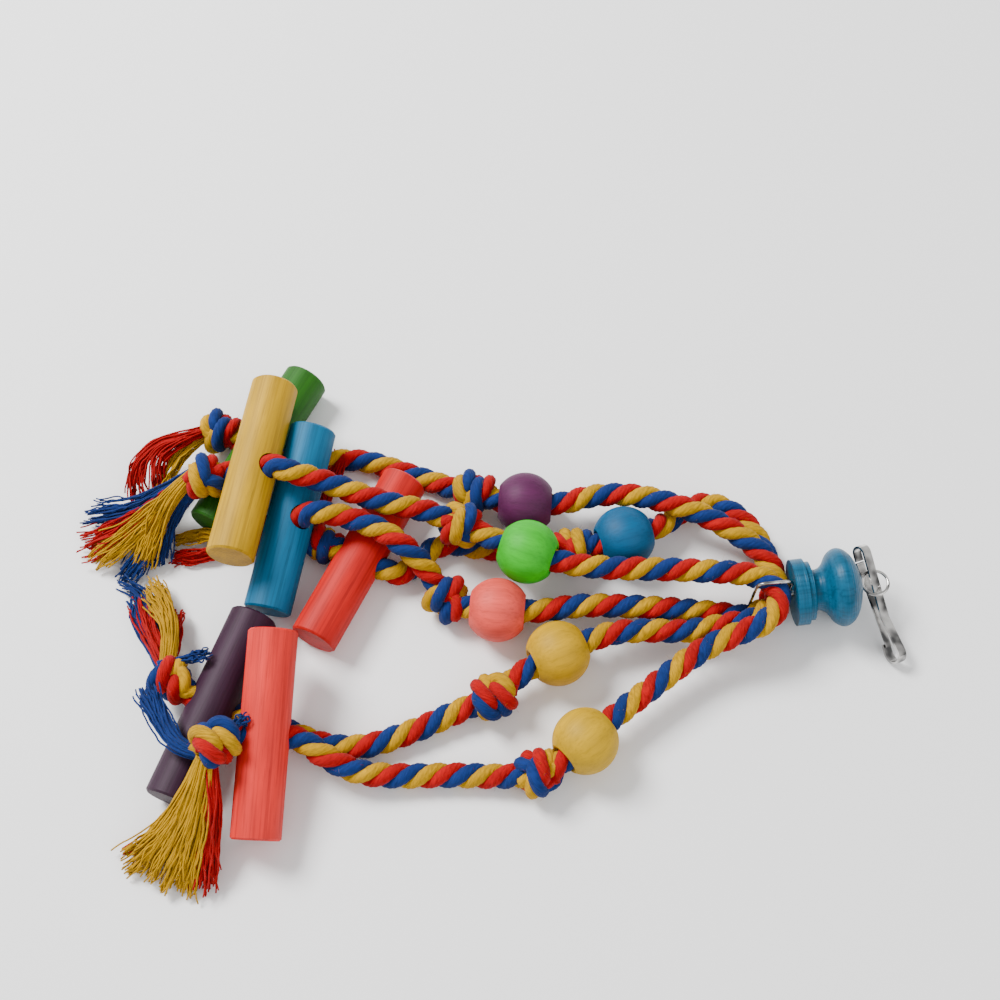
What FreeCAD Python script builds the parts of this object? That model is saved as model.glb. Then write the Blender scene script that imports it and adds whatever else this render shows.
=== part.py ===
import FreeCAD, Part
import math
import os
from FreeCAD import Vector, Rotation, Placement

# Rope toy for a parrot, lying on a flat surface.  Three ropes are folded round a wire below a
# turned knob, which makes six legs.  Each leg carries a bead, a knot, a cross-drilled dowel,
# a second knot and a frayed tassel.  A snap hook hangs in the wire's eye.
# Millimetres, Z up, the surface at z = 0, the origin below the middle of the whole outline.

# ---- Driving dimensions -------------------------------------------------------------------
ROPE_D = 7.4
ROPE_R = ROPE_D / 2

BEAD_R = 10.0
BEAD_LENGTH = 17.0
BEAD_BORE_R = 4.0
BEAD_Z = BEAD_R
BEAD_EDGE = 0.6

DOWEL_R = 7.5
DOWEL_LENGTH = 61.5
DOWEL_BORE_R = 4.0
DOWEL_EDGE = 0.6

KNOT_R = 7.0
KNOT_HALF = 5.6
KNOT_SOCKET = 2.6

KNOB_FACE = Vector(96.4, 4.8, 11.1)
KNOB_HEADING = 5.5
KNOB_RISE = 5.0
KNOB_LENGTH = 21.2
FLANGE_R = 10.4
FLANGE_T = 3.9
STEP_R = 9.2
STEP_T = 1.8
WAIST_R = 6.5
WAIST_X = 8.0
BULB_R = 12.3
BULB_X = 14.9
TIP_R = 3.4
KNOB_BORE_R = 1.25

WIRE_D = 1.0
STEM_R = 1.2
RING_R = 4.0
RING_X = KNOB_LENGTH + RING_R + 0.6
CLAMP_BACK = 12.6
CLAMP_FRONT = 1.5
CLAMP_TOP = 10.0
CLAMP_BOTTOM = -10.35
CLAMP_ROOM = 2.6

STRIP_W = 3.0
STRIP_T = 0.7
HOOK_TOP_R = 2.2
HOOK_END_R = 3.0
SPINE_UPPER = 21.0
SPINE_LOWER = 11.0
SPINE_BEND = 16.0
NOSE_LENGTH = 3.0
NOSE_SWEEP = 196.0
RETURN_LENGTH = 2.4
HINGE_GAP = 0.3
GATE_T = 0.5
GATE_TIP_W = 2.0
GATE_OVERLAP = 1.0
HOOK_SPINE_AT = 9.8
HOOK_AZIMUTH = -73.0
HOOK_DROP = 24.5
HOOK_ROLL = 20.0

ARC_SHARE = 0.45


def unit(vector):
    """The same direction at length one."""
    return Vector(vector).normalize()


def heading(azimuth, rise=0.0):
    """Unit vector at an azimuth from +X towards +Y, raised by a second angle, in degrees."""
    a = math.radians(azimuth)
    r = math.radians(rise)
    return Vector(math.cos(a) * math.cos(r), math.sin(a) * math.cos(r), math.sin(r))


# ---- Wooden dowels: centre, azimuth of the near end, its rise, and the rope's rise to the right
DOWELS = {
    "green": (Vector(-74.6, 57.2, DOWEL_R), -117.0, 0.0, 0.0),
    "yellow": (Vector(-72.9, 41.6, 24.2), -99.0, 0.0, 34.0),
    "blue": (Vector(-61.8, 29.6, 12.9), -101.7, -9.5, 48.0),
    "coral": (Vector(-39.6, 18.0, 7.8), -115.9, 0.0, -6.0),
    "purple": (Vector(-82.2, -30.6, DOWEL_R), -109.8, 0.0, -15.0),
    "red": (Vector(-64.6, -41.5, 14.8), -92.8, -12.6, -22.0),
}


def dowel_axes(name):
    """Centre, long direction, and the rope's direction towards the bead."""
    centre, azimuth, rise, rope_rise = DOWELS[name]
    along = heading(azimuth, rise)
    level = unit(along.cross(Vector(0, 0, 1))) * -1
    up = unit(level.cross(along)) * -1
    if up.z < 0:
        up = up * -1
    r = math.radians(rope_rise)
    return centre, along, level * math.cos(r) + up * math.sin(r)


def dowel(name):
    """Turned stick with eased ends and one hole across its middle."""
    centre, along, rope = dowel_axes(name)
    start = centre - along * (DOWEL_LENGTH / 2)
    stick = Part.makeCylinder(DOWEL_R, DOWEL_LENGTH, start, along)
    rims = [e for e in stick.Edges if e.Closed and abs(e.Length - 2 * math.pi * DOWEL_R) < 0.01]
    stick = stick.makeChamfer(DOWEL_EDGE, rims)
    reach = 2 * DOWEL_R
    hole = Part.makeCylinder(DOWEL_BORE_R, 2 * reach, centre - rope * reach, rope)
    return stick.cut(hole)


# ---- Beads: centre and azimuth of the bore ----------------------------------------------
BEADS = {
    "purple": (Vector(13.1, 36.4, BEAD_Z), -4.0),
    "green": (Vector(13.6, 15.8, BEAD_Z + 7.9), -20.0),
    "coral": (Vector(4.2, -0.5, BEAD_Z), -5.0),
    "blue": (Vector(44.6, 24.3, BEAD_Z), 17.0),
    "yellow": (Vector(22.8, -14.8, BEAD_Z), 24.0),
    "lemon": (Vector(30.5, -42.4, BEAD_Z), 41.0),
}


def bead(name):
    """Ball with two flat faces and a wide bore, turned from one outline."""
    centre, azimuth = BEADS[name]
    half = BEAD_LENGTH / 2
    rim_r = math.sqrt(BEAD_R ** 2 - half ** 2)
    mouth_r = BEAD_BORE_R + BEAD_EDGE
    low_bore = Vector(BEAD_BORE_R, 0, BEAD_EDGE - half)
    high_bore = Vector(BEAD_BORE_R, 0, half - BEAD_EDGE)
    low_mouth = Vector(mouth_r, 0, -half)
    high_mouth = Vector(mouth_r, 0, half)
    low_rim = Vector(rim_r, 0, -half)
    high_rim = Vector(rim_r, 0, half)
    outline = Part.Wire([
        Part.LineSegment(low_bore, low_mouth).toShape(),
        Part.LineSegment(low_mouth, low_rim).toShape(),
        Part.Arc(low_rim, Vector(BEAD_R, 0, 0), high_rim).toShape(),
        Part.LineSegment(high_rim, high_mouth).toShape(),
        Part.LineSegment(high_mouth, high_bore).toShape(),
        Part.LineSegment(high_bore, low_bore).toShape(),
    ])
    shape = Part.Face(outline).revolve(Vector(0, 0, 0), Vector(0, 0, 1), 360)
    shape.Placement = Placement(centre, Rotation(Vector(0, 0, 1), heading(azimuth)))
    return shape


# ---- Knots: centre, direction from the bead's side to the dowel's side, radius, half length
KNOTS = {
    "purple_bead": (Vector(-3.0, 41.0, 7.2), Vector(-1.0, 0.35, -0.2), KNOT_R, KNOT_HALF),
    "green_bead": (Vector(-7.2, 26.2, 15.4), Vector(-0.9, 0.3, 0.2), KNOT_R, KNOT_HALF),
    "coral_bead": (Vector(-11.0, 4.6, 7.2), Vector(-0.8, 0.6, 0.2), KNOT_R, KNOT_HALF),
    "blue_bead": (Vector(28.6, 20.6, 7.2), Vector(-1.0, 0.0, -0.2), KNOT_R, KNOT_HALF),
    "yellow_bead": (Vector(3.2, -27.2, 7.2), Vector(-0.85, -0.45, -0.2), KNOT_R, KNOT_HALF),
    "lemon_bead": (Vector(16.6, -51.6, 7.2), Vector(-0.95, -0.1, -0.2), KNOT_R, KNOT_HALF),
    "green_end": (Vector(-88.0, 63.6, 7.2), Vector(-0.85, 0.45, 0.0), 6.6, 4.4),
    "yellow_end": (Vector(-88.2, 40.6, 21.6), Vector(-1.0, -0.1, 0.0), 6.6, 4.8),
    "blue_end": (Vector(-74.5, 27.0, 5.8), Vector(-0.8, -0.6, 0.0), 5.6, 4.4),
    "coral_end": (Vector(-51.6, 23.6, 5.6), Vector(-0.9, 0.43, 0.0), 5.0, 4.0),
    "purple_end": (Vector(-94.4, -23.0, 10.0), Vector(-0.9, 0.4, 0.1), 6.4, 4.8),
    "red_end": (Vector(-77.5, -46.2, 22.0), Vector(-0.6, -0.6, 0.2), KNOT_R, KNOT_HALF),
}


def knot_ports(name):
    """Where the ropes end inside a knot, on its bead side and on its far side."""
    centre, direction, radius, half = KNOTS[name]
    depth = unit(direction) * (half - KNOT_SOCKET)
    return centre - depth, centre + depth


def barrel(name):
    """Rounded barrel with two flat faces, the solid size of one knot."""
    centre, direction, radius, half = KNOTS[name]
    rim_r = math.sqrt(radius ** 2 - half ** 2)
    low = Vector(0, 0, -half)
    high = Vector(0, 0, half)
    low_rim = Vector(rim_r, 0, -half)
    high_rim = Vector(rim_r, 0, half)
    outline = Part.Wire([
        Part.LineSegment(low, low_rim).toShape(),
        Part.Arc(low_rim, Vector(radius, 0, 0), high_rim).toShape(),
        Part.LineSegment(high_rim, high).toShape(),
        Part.LineSegment(high, low).toShape(),
    ])
    shape = Part.Face(outline).revolve(Vector(0, 0, 0), Vector(0, 0, 1), 360)
    shape.Placement = Placement(centre, Rotation(Vector(0, 0, 1), unit(direction)))
    return shape


# ---- Ropes --------------------------------------------------------------------------------
def through_bead(name):
    """The two points where a rope's straight run through a bead begins and ends."""
    centre, azimuth = BEADS[name]
    axis = heading(azimuth)
    reach = BEAD_LENGTH / 2 + 2.5
    return centre + axis * reach, centre - axis * reach


def through_dowel(name):
    """The two points just outside a dowel's hole, bead side first."""
    centre, along, rope = dowel_axes(name)
    reach = DOWEL_R + 2.5
    return centre + rope * reach, centre - rope * reach


def leg_end(bead_name):
    """The last points of a folded rope, through its bead and into the knot behind it."""
    right, left = through_bead(bead_name)
    return [right, left, knot_ports(bead_name + "_bead")[0]]


def folded_ropes():
    """Three ropes, each from one bead's knot up to the wire and back to another bead's knot."""
    green_to_fold = [
        Vector(36.0, 10.6, 17.4), Vector(53.0, 10.4, 17.0), Vector(70.0, 9.8, 16.8),
        Vector(83.0, 8.8, 17.0), Vector(90.2, 5.2, 17.0),
    ]
    fold_to_lemon = [
        Vector(91.2, -1.4, 17.0), Vector(86.0, -7.6, 16.4), Vector(77.0, -10.2, 14.6),
        Vector(66.2, -14.4, 11.5), Vector(54.4, -23.2, 10.2),
    ]
    purple_to_fold = [
        Vector(34.0, 38.8, 10.9), Vector(47.0, 38.6, 12.6), Vector(59.0, 35.2, 13.4),
        Vector(70.0, 31.0, 13.0), Vector(80.0, 25.4, 11.8), Vector(88.0, 18.8, 10.9),
        Vector(92.2, 10.6, 10.6),
    ]
    fold_to_yellow = [
        Vector(91.4, 2.4, 10.3), Vector(85.2, -3.8, 10.3), Vector(75.0, -5.2, 9.6),
        Vector(63.6, -7.2, 8.6), Vector(52.0, -7.0, 9.4), Vector(41.0, -7.6, 10.0),
    ]
    blue_to_fold = [
        Vector(60.0, 32.6, 5.2), Vector(67.0, 38.6, 3.9), Vector(75.4, 39.6, 3.9),
        Vector(83.6, 34.4, 3.9), Vector(89.2, 25.4, 4.0), Vector(92.2, 15.0, 4.2),
    ]
    fold_to_coral = [
        Vector(91.4, 5.4, 4.2), Vector(85.0, -0.8, 4.2), Vector(75.0, 0.6, 4.4),
        Vector(62.0, 0.8, 7.2), Vector(46.0, 1.0, 9.6), Vector(29.0, 1.2, 10.1),
    ]
    return {
        "rope_green_lemon": (leg_end("green")[::-1] + green_to_fold + fold_to_lemon
                             + leg_end("lemon"), "green", "lemon"),
        "rope_purple_yellow": (leg_end("purple")[::-1] + purple_to_fold + fold_to_yellow
                               + leg_end("yellow"), "purple", "yellow"),
        "rope_blue_coral": (leg_end("blue")[::-1] + blue_to_fold + fold_to_coral
                            + leg_end("coral"), "blue", "coral"),
    }


def lower_ropes():
    """Six ropes, each from a bead's knot through a dowel and into the end knot."""
    routes = {
        ("purple", "green"): [
            Vector(-17.0, 47.0, 3.9), Vector(-29.0, 51.6, 3.9), Vector(-41.0, 55.6, 3.9),
            Vector(-53.0, 55.2, 3.9), Vector(-60.0, 52.2, 4.6),
        ],
        ("green", "yellow"): [
            Vector(-17.0, 30.0, 18.0), Vector(-27.4, 30.6, 20.2), Vector(-38.0, 33.4, 21.6),
            Vector(-48.4, 36.4, 24.6), Vector(-57.2, 37.6, 28.2), Vector(-62.4, 38.6, 29.8),
        ],
        ("coral", "blue"): [
            Vector(-17.4, 12.0, 12.4), Vector(-24.6, 17.4, 19.2), Vector(-32.4, 22.6, 20.0),
            Vector(-40.6, 26.0, 20.4), Vector(-49.0, 27.2, 22.4), Vector(-54.0, 27.6, 22.4),
        ],
        ("blue", "coral"): [
            Vector(14.0, 22.4, 3.9), Vector(-1.0, 23.0, 3.9), Vector(-12.0, 25.4, 3.9),
            Vector(-19.4, 21.6, 3.9), Vector(-25.0, 13.8, 4.6),
        ],
        ("yellow", "purple"): [
            Vector(-8.0, -31.4, 4.0), Vector(-22.0, -38.0, 3.9), Vector(-37.0, -43.0, 3.9),
            Vector(-49.0, -42.0, 3.9), Vector(-59.6, -37.4, 3.9), Vector(-67.0, -34.8, 3.9),
        ],
        ("lemon", "red"): [
            Vector(4.0, -51.6, 3.9), Vector(-10.0, -51.0, 3.9), Vector(-25.0, -51.6, 4.2),
            Vector(-38.0, -51.2, 6.8), Vector(-48.6, -46.4, 10.8),
        ],
    }
    ropes = {}
    for (bead_name, dowel_name), middle in routes.items():
        start = knot_ports(bead_name + "_bead")[1]
        near, far = through_dowel(dowel_name)
        end = knot_ports(dowel_name + "_end")[0]
        points = [start] + middle + [near, far, end]
        ropes["rope_to_" + dowel_name + "_dowel"] = (points, bead_name, dowel_name)
    return ropes


def round_path(points, most_room=None):
    """Straight runs joined by tangent arcs, each as large as its two runs allow."""
    edges = []
    radii = []
    start = points[0]
    for before, corner, after in zip(points, points[1:], points[2:]):
        run_in = corner - before
        run_out = after - corner
        turn = run_in.getAngle(run_out)
        room = ARC_SHARE * min(run_in.Length, run_out.Length)
        if most_room:
            room = min(room, most_room)
        radius = room / math.tan(turn / 2)
        radii.append(radius)
        enter = corner - unit(run_in) * room
        leave = corner + unit(run_out) * room
        inward = unit(unit(run_out) - unit(run_in))
        middle = corner + inward * (radius / math.cos(turn / 2) - radius)
        edges.append(Part.LineSegment(start, enter).toShape())
        edges.append(Part.Arc(enter, middle, leave).toShape())
        start = leave
    edges.append(Part.LineSegment(start, points[-1]).toShape())
    return Part.Wire(edges), radii


def cord(name, points, radius):
    """Round tube along a route.  Prints its length, its radii and how its volume compares."""
    path, radii = round_path(points)
    section = Part.Wire(Part.makeCircle(radius, points[0], points[1] - points[0]))
    tube = path.makePipeShell([section], True, False)
    expected = math.pi * radius ** 2 * path.Length
    tight = " ".join("%.0f" % r for r in radii)
    print("%s: %.0f mm, volume %.3f of expected, radii %s"
          % (name, path.Length, tube.Volume / expected, tight))
    return tube


# ---- Tassels: sections of centre, half width and half height, from the knot outwards ------
TASSELS = {
    "green": [[
        (Vector(-92.4, 65.8, 6.8), 3.6, 3.3), (Vector(-100.0, 63.0, 6.0), 5.0, 4.0),
        (Vector(-108.0, 57.0, 4.4), 6.0, 3.2), (Vector(-113.0, 49.0, 3.0), 7.0, 2.0),
    ]],
    "yellow": [[
        (Vector(-93.0, 40.0, 21.4), 3.6, 3.3), (Vector(-103.0, 36.0, 15.6), 6.0, 4.6),
        (Vector(-113.0, 26.0, 7.4), 10.0, 4.0), (Vector(-121.1, 16.0, 3.2), 13.0, 2.2),
    ]],
    "blue": [[
        (Vector(-77.6, 23.6, 5.4), 3.6, 3.3), (Vector(-87.0, 17.6, 4.6), 5.0, 3.0),
        (Vector(-99.0, 19.0, 3.2), 6.0, 2.2),
    ]],
    "coral": [[
        (Vector(-54.4, 27.6, 4.6), 3.2, 2.9), (Vector(-53.4, 36.0, 4.0), 3.6, 2.8),
        (Vector(-50.0, 45.0, 3.0), 4.0, 2.0),
    ]],
    "purple": [[
        (Vector(-97.2, -18.6, 9.4), 3.6, 3.3), (Vector(-101.0, -7.0, 6.8), 7.0, 3.8),
        (Vector(-104.0, 6.0, 3.6), 8.0, 2.4),
    ]],
    "red": [
        [
            (Vector(-80.6, -49.6, 21.6), 3.6, 3.3), (Vector(-85.0, -60.0, 18.6), 6.0, 2.6),
            (Vector(-91.0, -76.0, 8.4), 10.0, 2.6), (Vector(-94.6, -80.8, 3.2), 14.0, 2.0),
        ],
        [
            (Vector(-83.6, -47.0, 20.6), 3.0, 2.6), (Vector(-92.0, -41.0, 19.0), 5.4, 2.2),
            (Vector(-101.0, -33.6, 15.6), 5.4, 2.0),
        ],
    ],
}


def tuft(sections):
    """One bundle of threads as a smooth flattened solid, with its broad sides level."""
    wires = []
    for index, (centre, half_width, half_height) in enumerate(sections):
        before = sections[max(index - 1, 0)][0]
        after = sections[min(index + 1, len(sections) - 1)][0]
        forward = unit(after - before)
        side = unit(forward.cross(Vector(0, 0, 1)))
        up = unit(side.cross(forward))
        ellipse = Part.Ellipse(centre + side * half_width, centre + up * half_height, centre)
        wires.append(Part.Wire(ellipse.toShape()))
    return Part.makeLoft(wires, True, True)


# ---- Knob, wire and hook, in the knob's own frame: +X from its flange to its tip ----------
def place_level(shape):
    """Moves a shape to the knob's flange, turned to the knob's heading but kept level."""
    moved = shape.copy()
    turn = Rotation(Vector(0, 0, 1), KNOB_HEADING)
    moved.Placement = Placement(KNOB_FACE, turn).multiply(moved.Placement)
    return moved


def place_on_knob(shape):
    """Moves a shape from the knob's frame, which rises towards its tip, to the object's."""
    tilted = shape.copy()
    tilt = Rotation(Vector(0, 1, 0), -KNOB_RISE)
    tilted.Placement = Placement(Vector(0, 0, 0), tilt).multiply(tilted.Placement)
    return place_level(tilted)


def knob():
    """Turned knob: flange, step, waist and bulb, bored for the wire's stem."""
    step_end = FLANGE_T + STEP_T
    flange = [
        Vector(0, 0, 0), Vector(0, 0, FLANGE_R), Vector(FLANGE_T, 0, FLANGE_R),
        Vector(FLANGE_T, 0, STEP_R), Vector(step_end, 0, STEP_R),
    ]
    edges = [Part.LineSegment(a, b).toShape() for a, b in zip(flange, flange[1:])]
    cove_start = Vector(step_end, 0, WAIST_R + 0.9)
    edges.append(Part.LineSegment(flange[-1], cove_start).toShape())
    waist = Part.BSplineCurve()
    waist.interpolate([
        cove_start, Vector(WAIST_X, 0, WAIST_R), Vector(WAIST_X + 2.0, 0, WAIST_R + 1.4),
        Vector(BULB_X - 3.2, 0, BULB_R - 1.7), Vector(BULB_X, 0, BULB_R),
        Vector(BULB_X + 3.4, 0, BULB_R - 2.0), Vector(KNOB_LENGTH - 0.9, 0, BULB_R - 6.0),
        Vector(KNOB_LENGTH, 0, TIP_R),
    ])
    edges.append(waist.toShape())
    edges.append(Part.LineSegment(Vector(KNOB_LENGTH, 0, TIP_R),
                                  Vector(KNOB_LENGTH, 0, 0)).toShape())
    edges.append(Part.LineSegment(Vector(KNOB_LENGTH, 0, 0), Vector(0, 0, 0)).toShape())
    solid = Part.Face(Part.Wire(edges)).revolve(Vector(0, 0, 0), Vector(1, 0, 0), 360)
    bore = Part.makeCylinder(KNOB_BORE_R, KNOB_LENGTH + 2, Vector(-1, 0, 0), Vector(1, 0, 0))
    return place_on_knob(solid.cut(bore))


def eye_wire():
    """One bent wire: the clamp round the folded ropes, the stem in the knob, and the eye."""
    lift = 0.45
    corners = [
        Vector(0.6, 0, lift), Vector(-CLAMP_FRONT, 0, lift + 0.5),
        Vector(-CLAMP_FRONT, 0, CLAMP_TOP), Vector(-CLAMP_BACK, 0, CLAMP_TOP),
        Vector(-CLAMP_BACK, 0, CLAMP_BOTTOM), Vector(-CLAMP_FRONT, 0, CLAMP_BOTTOM),
        Vector(-CLAMP_FRONT, 0, -lift - 0.5), Vector(0.6, 0, -lift),
    ]
    path = round_path(corners, CLAMP_ROOM)[0]
    section = Part.Wire(Part.makeCircle(WIRE_D / 2, corners[0], corners[1] - corners[0]))
    clamp = place_level(path.makePipeShell([section], True, False))
    stem_end = RING_X - RING_R
    stem = Part.makeCylinder(STEM_R, stem_end, Vector(0, 0, 0), Vector(1, 0, 0))
    ring = Part.makeTorus(RING_R, WIRE_D / 2, Vector(RING_X, 0, 0), Vector(0, 0, 1))
    eye = place_on_knob(stem.fuse(ring))
    return clamp.fuse(eye).removeSplitter()


# The hook's own frame: +X down the spine, +Y from the spine to the gate.
def hook_placement():
    """Puts the hook's spine through the middle of the eye, leaning down to the surface."""
    along = heading(HOOK_AZIMUTH, -HOOK_DROP)
    level = unit(along.cross(Vector(0, 0, 1)))
    down = unit(along.cross(level))
    if down.z > 0:
        down = down * -1
    roll = math.radians(HOOK_ROLL)
    to_gate = unit(down * math.cos(roll) + level * (-math.sin(roll)))
    if to_gate.x > 0:
        to_gate = unit(down * math.cos(roll) + level * math.sin(roll))
    across = along.cross(to_gate)
    turn = FreeCAD.Rotation(along, to_gate, across, "ZXY")
    eye = KNOB_FACE + heading(KNOB_HEADING, KNOB_RISE) * RING_X
    return Placement(eye - along * HOOK_SPINE_AT, turn), along, to_gate, across, eye


def strip_box(start, direction, length, thickness, width):
    """Flat bar in the hook's plane, centred on its line."""
    bar = Part.makeBox(length, thickness, width, Vector(0, -thickness / 2, -width / 2))
    bar.Placement = Placement(start, Rotation(Vector(1, 0, 0), direction))
    return bar


def strip_bend(centre, radius, from_angle, to_angle):
    """Part of a ring in the hook's plane."""
    outer = Part.makeCylinder(radius + STRIP_T / 2, STRIP_W, centre + Vector(0, 0, -STRIP_W / 2),
                              Vector(0, 0, 1), to_angle - from_angle)
    inner = Part.makeCylinder(radius - STRIP_T / 2, STRIP_W, centre + Vector(0, 0, -STRIP_W / 2),
                              Vector(0, 0, 1), to_angle - from_angle)
    bend = outer.cut(inner)
    bend.rotate(centre, Vector(0, 0, 1), from_angle)
    return bend


def hook_points():
    """Centres and ends that the hook's body and its gate share, in the hook's frame."""
    top = Vector(0, 0, 0)
    knee = Vector(SPINE_UPPER, 0, 0)
    bend = math.radians(SPINE_BEND)
    lower = Vector(math.cos(bend), -math.sin(bend), 0)
    heel = knee + lower * SPINE_LOWER
    end_centre = heel + Vector(-lower.y, lower.x, 0) * HOOK_END_R
    gate_root = Vector(RETURN_LENGTH, 2 * HOOK_TOP_R, 0)
    return top, knee, lower, heel, end_centre, gate_root


def hook_body():
    """Bent strip: return leg, top bend, spine with its knee, end bend and nose."""
    top, knee, lower, heel, end_centre, gate_root = hook_points()
    body = strip_box(top, Vector(1, 0, 0), SPINE_UPPER, STRIP_T, STRIP_W)
    body = body.fuse(strip_box(knee, lower, SPINE_LOWER, STRIP_T, STRIP_W))
    body = body.fuse(Part.makeCylinder(STRIP_T / 2, STRIP_W, knee + Vector(0, 0, -STRIP_W / 2)))
    body = body.fuse(strip_bend(Vector(0, HOOK_TOP_R, 0), HOOK_TOP_R, 90, 270))
    body = body.fuse(strip_box(Vector(0, 2 * HOOK_TOP_R, 0), Vector(1, 0, 0), RETURN_LENGTH,
                               STRIP_T, STRIP_W))
    start_angle = -90 - SPINE_BEND
    body = body.fuse(strip_bend(end_centre, HOOK_END_R, start_angle,
                                start_angle + NOSE_SWEEP))
    nose_turn = math.radians(start_angle + NOSE_SWEEP)
    nose_start = end_centre + Vector(math.cos(nose_turn), math.sin(nose_turn), 0) * HOOK_END_R
    nose_way = Vector(-math.sin(nose_turn), math.cos(nose_turn), 0)
    body = body.fuse(strip_box(nose_start, nose_way, NOSE_LENGTH, STRIP_T, STRIP_W))
    return body.removeSplitter(), nose_start + nose_way * NOSE_LENGTH


def hook():
    placement = hook_placement()[0]
    body = hook_body()[0]
    body.Placement = placement.multiply(body.Placement)
    return body


def gate():
    """Springy leaf from the return leg to just inside the nose."""
    nose = hook_body()[1]
    root = hook_points()[5] + Vector(STRIP_T / 2 + HINGE_GAP, 0, 0)
    tip = nose + Vector(GATE_OVERLAP, -(STRIP_T + GATE_T) / 2 - HINGE_GAP, 0)
    way = unit(tip - root)
    side = Vector(-way.y, way.x, 0)
    half_root = Vector(0, 0, STRIP_W / 2)
    half_tip = Vector(0, 0, GATE_TIP_W / 2)
    outline = [root - half_root, root + half_root, tip + half_tip, tip - half_tip]
    low = [p - side * (GATE_T / 2) for p in outline]
    leaf = Part.Face(Part.makePolygon(low + low[:1])).extrude(side * GATE_T)
    knuckle = Part.makeCylinder(STRIP_T / 2, STRIP_W, root - half_root)
    leaf = leaf.fuse(knuckle).removeSplitter()
    leaf.Placement = hook_placement()[0].multiply(leaf.Placement)
    return leaf


# ---- The whole toy ------------------------------------------------------------------------
def build():
    """Every piece by its node name."""
    parts = {"knob": knob(), "eye_wire": eye_wire(), "hook_body": hook(), "hook_gate": gate()}
    for name in BEADS:
        parts["bead_" + name] = bead(name)
    for name in DOWELS:
        parts["dowel_" + name] = dowel(name)
    ends = {name: [] for name in KNOTS}
    for name, (points, first, last) in folded_ropes().items():
        parts[name] = cord(name, points, ROPE_R)
        ends[first + "_bead"].append(parts[name])
        ends[last + "_bead"].append(parts[name])
    for name, (points, first, last) in lower_ropes().items():
        parts[name] = cord(name, points, ROPE_R)
        ends[first + "_bead"].append(parts[name])
        ends[last + "_end"].append(parts[name])
    for name in KNOTS:
        parts["knot_" + name] = barrel(name).cut(ends[name])
    for name, tufts in TASSELS.items():
        solids = [tuft(sections).cut(barrel(name + "_end")) for sections in tufts]
        parts["tassel_" + name] = Part.makeCompound([s for t in solids for s in t.Solids])
    return parts


parts = build()
os.makedirs("parts", exist_ok=True)
for node, shape in parts.items():
    shape.exportStep("parts/" + node + ".step")
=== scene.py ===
import math
import random

import bpy
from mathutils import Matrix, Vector, noise


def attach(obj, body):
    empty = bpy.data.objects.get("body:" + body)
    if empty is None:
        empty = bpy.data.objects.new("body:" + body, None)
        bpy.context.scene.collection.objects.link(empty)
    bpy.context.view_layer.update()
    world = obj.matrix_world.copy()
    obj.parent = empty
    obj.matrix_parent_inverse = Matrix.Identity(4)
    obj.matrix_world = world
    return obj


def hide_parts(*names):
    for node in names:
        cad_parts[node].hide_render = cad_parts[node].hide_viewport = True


# Parrot rope toy in cotton rope, dyed wood and bright nickel, on a white floor.
# Lengths here are in millimetres in the row frame; MM turns them into metres.

MM = 0.001

ROPE_D = 7.4
ROPE_PITCH = 17.0
STRAND_CENTRE = 1.87
STRAND_R = 1.92
STRAND_STEP = 0.5
STRAND_SIDES = 32
YARNS = 8
YARN_DEPTH = 0.15
YARN_LENGTH = 21.0

BEAD_LENGTH = 17.0
DOWEL_R = 7.5
KNOT_SOCKET = 2.6
KNOT_ROPE_D = 7.4
KNOT_FULL_R = 5.8
KNOT_FLOOR_GAP = 0.2
KNOT_HAIRS = 60
RUN_OUT = 2.5
PATH_STEP = 1.0

THREAD_R = 0.34
THREAD_SIDES = 5
THREAD_SHARE = 1.6
THREAD_STEPS = 26
THREAD_FLOOR_GAP = 0.05
TUFT_FLAT = 2.4
STRAY_SHARE = 0.12
STRAY_REACH = 1.7

HAIR_R = 0.028
HAIR_SHORTEST = 0.7
HAIR_LONGEST = 2.2
HAIR_FLOOR_GAP = 0.1

KNOB_FACE = Vector((96.4, 4.8, 11.1))
KNOB_HEADING = 5.5
KNOB_RISE = 5.0

TARGET = Vector((5.0, 42.5, 0.0))
CAMERA_DISTANCE = 464.0
CAMERA_RISE = 64.0
CAMERA_LENS = 50.4
CAMERA_SENSOR = 36.0

# Lights: place in metres, size in metres, power in watts.
KEY_LIGHT = ((-0.75, 0.55, 1.05), 0.5, 36.0)
FILL_LIGHT = ((0.9, -0.7, 1.1), 1.2, 8.0)
SKY_LEVEL = 0.8
FLOOR_SIZE = 6.0
FLOOR_WHITE = (0.93, 0.93, 0.93)

# How strongly the grain shows in each kind of wood.
BEAD_FIGURE = 0.3
DOWEL_FIGURE = 0.5
KNOB_FIGURE = 0.5

# Dowels: centre, azimuth of the near end, its rise, and the rope's rise to the right.
DOWELS = {
    "green": ((-74.6, 57.2, 7.5), -117.0, 0.0, 0.0),
    "yellow": ((-72.9, 41.6, 24.2), -99.0, 0.0, 34.0),
    "blue": ((-61.8, 29.6, 12.9), -101.7, -9.5, 48.0),
    "coral": ((-39.6, 18.0, 7.8), -115.9, 0.0, -6.0),
    "purple": ((-82.2, -30.6, 7.5), -109.8, 0.0, -15.0),
    "red": ((-64.6, -41.5, 14.8), -92.8, -12.6, -22.0),
}

# Beads: centre and azimuth of the bore.
BEADS = {
    "purple": ((13.1, 36.4, 10.0), -4.0),
    "green": ((13.6, 15.8, 17.9), -20.0),
    "coral": ((4.2, -0.5, 10.0), -5.0),
    "blue": ((44.6, 24.3, 10.0), 17.0),
    "yellow": ((22.8, -14.8, 10.0), 24.0),
    "lemon": ((30.5, -42.4, 10.0), 41.0),
}

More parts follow.
